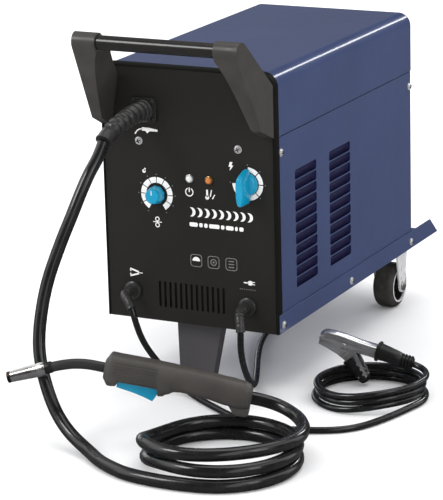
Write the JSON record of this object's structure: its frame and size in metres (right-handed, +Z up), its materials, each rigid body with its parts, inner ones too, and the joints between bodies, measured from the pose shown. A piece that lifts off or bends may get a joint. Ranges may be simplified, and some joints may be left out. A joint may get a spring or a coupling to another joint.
{
  "type": "wheeled gas-shielded wire welder",
  "caption": "Sheet-metal wire-feed welder on castors with lid, bottle tray, front handle, torch on a hose, earth clamp and mains lead.",
  "frame": {"origin": "on the floor, in the middle of the front foot's sole", "axes": "+X to the right seen from the front, +Y to the rear, +Z up"},
  "size_m": [0.467, 0.954, 0.496],
  "materials": {
    "blue_paint": "satin powder coat",
    "black_paint": "satin powder coat",
    "black_plastic": "fine moulded grain",
    "rubber": "smooth",
    "cable_jacket": "glossy jacket",
    "tyre": "matt",
    "zinc_plate": "bright zinc",
    "steel": "plain",
    "chrome": "polished",
    "teal_plastic": "glossy",
    "copper_wire": "enamelled windings",
    "core_iron": "varnished laminations",
    "brass": "turned",
    "pale_lens": "clear",
    "amber_lens": "clear"
  },
  "bodies": {
    "cabinet": {"base_pan": "blue_paint", "front_panel": "black_paint", "rear_panel": "black_paint", "side_panel_right": "blue_paint", "side_panel_left": "blue_paint", "partition": "steel", "hinge_leaf_fixed": "steel", "hinge_pin": "steel", "handle_tube": "black_plastic", "front_foot": "black_paint", "handle_bracket_left": "black_plastic", "handle_bracket_right": "black_plastic", "castor_fork_left": "zinc_plate", "castor_fork_right": "zinc_plate", "castor_axle_left": "steel", "castor_axle_right": "steel", "power_lamp": "pale_lens", "overheat_lamp": "amber_lens", "speed_potentiometer": "steel", "current_switch": "black_plastic", "torch_gland": "rubber", "earth_gland": "rubber", "mains_gland": "rubber", "transformer_core": "core_iron", "transformer_winding": "copper_wire", "rectifier": "steel", "fan_motor": "core_iron", "feed_motor": "core_iron", "feed_plate": "black_plastic", "spool_spindle": "black_plastic", "gas_valve": "brass", "torch_handle": "black_plastic", "swan_neck": "black_plastic", "gas_nozzle": "chrome", "clamp_upper_arm": "chrome", "torch_hose": "cable_jacket", "torch_hose_coil": "cable_jacket", "torch_hose_tail": "cable_jacket", "earth_cable": "cable_jacket", "earth_cable_coil": "cable_jacket", "earth_cable_tail": "cable_jacket", "mains_cable": "cable_jacket", "mains_cable_coil": "cable_jacket", "mains_plug": "rubber"},
    "lid": {"lid": "blue_paint", "hinge_leaf_lid": "steel"},
    "wheel_left": {"rim_left": "zinc_plate", "tyre_left": "tyre"},
    "wheel_right": {"rim_right": "zinc_plate", "tyre_right": "tyre"},
    "speed_knob": {"speed_knob": "teal_plastic"},
    "current_knob": {"current_knob": "teal_plastic"},
    "fan": {"fan_rotor": "black_plastic"},
    "spool": {"wire_spool": "black_plastic", "wire_winding": "copper_wire"},
    "drive_roller": {"drive_roller": "steel"},
    "pressure_arm": {"pressure_arm": "black_plastic"},
    "pressure_roller": {"pressure_roller": "steel"},
    "torch_trigger": {"torch_trigger": "teal_plastic"},
    "clamp_jaw": {"clamp_lower_arm": "chrome"}
  },
  "joints": [
    {"name": "lid_hinge", "type": "hinge", "parent": "cabinet", "child": "lid", "pos_m": [-0.129, 0.2, 0.3575], "axis": [0, -1, 0], "range_deg": [0, 105]},
    {"name": "wheel_left_spin", "type": "hinge", "parent": "cabinet", "child": "wheel_left", "pos_m": [-0.0845, 0.449, 0.033], "axis": [1, 0, 0], "continuous": true},
    {"name": "wheel_right_spin", "type": "hinge", "parent": "cabinet", "child": "wheel_right", "pos_m": [0.0845, 0.449, 0.033], "axis": [1, 0, 0], "continuous": true},
    {"name": "speed_knob_turn", "type": "hinge", "parent": "cabinet", "child": "speed_knob", "pos_m": [-0.047, -0.0185, 0.27], "axis": [0, -1, 0], "range_deg": [-150, 150]},
    {"name": "current_knob_turn", "type": "hinge", "parent": "cabinet", "child": "current_knob", "pos_m": [0.086, -0.0185, 0.296], "axis": [0, -1, 0], "range_deg": [-90, 180]},
    {"name": "fan_spin", "type": "hinge", "parent": "cabinet", "child": "fan", "pos_m": [0.062, 0.405, 0.207], "axis": [0, 1, 0], "continuous": true},
    {"name": "spool_spin", "type": "hinge", "parent": "cabinet", "child": "spool", "pos_m": [-0.06, 0.288, 0.319], "axis": [1, 0, 0], "continuous": true},
    {"name": "drive_roller_spin", "type": "hinge", "parent": "cabinet", "child": "drive_roller", "pos_m": [-0.062, 0.095, 0.3665], "axis": [1, 0, 0], "continuous": true},
    {"name": "pressure_arm_open", "type": "hinge", "parent": "cabinet", "child": "pressure_arm", "pos_m": [-0.016, 0.069, 0.3936], "axis": [1, 0, 0], "range_deg": [0, 40]},
    {"name": "pressure_roller_spin", "type": "hinge", "parent": "pressure_arm", "child": "pressure_roller", "pos_m": [-0.062, 0.095, 0.3936], "axis": [1, 0, 0], "continuous": true},
    {"name": "torch_trigger_press", "type": "hinge", "parent": "cabinet", "child": "torch_trigger", "pos_m": [0.00032, -0.21749, 0.08068], "axis": [0.3822, -0.9241, 0], "range_deg": [0, 6], "stiffness_Nm_per_rad": 0.4, "springref_deg": -8.59},
    {"name": "clamp_jaw_open", "type": "hinge", "parent": "cabinet", "child": "clamp_jaw", "pos_m": [0.16897, 0.09692, 0.05667], "axis": [0.1182, -0.993, 0], "range_deg": [0, 22], "stiffness_Nm_per_rad": 0.6, "springref_deg": -22.92}
  ],
  "couplings": [
    {"joint": "drive_roller_spin", "follows": "spool_spin", "ratio": 5.8667},
    {"joint": "pressure_roller_spin", "follows": "spool_spin", "ratio": -8}
  ]
}
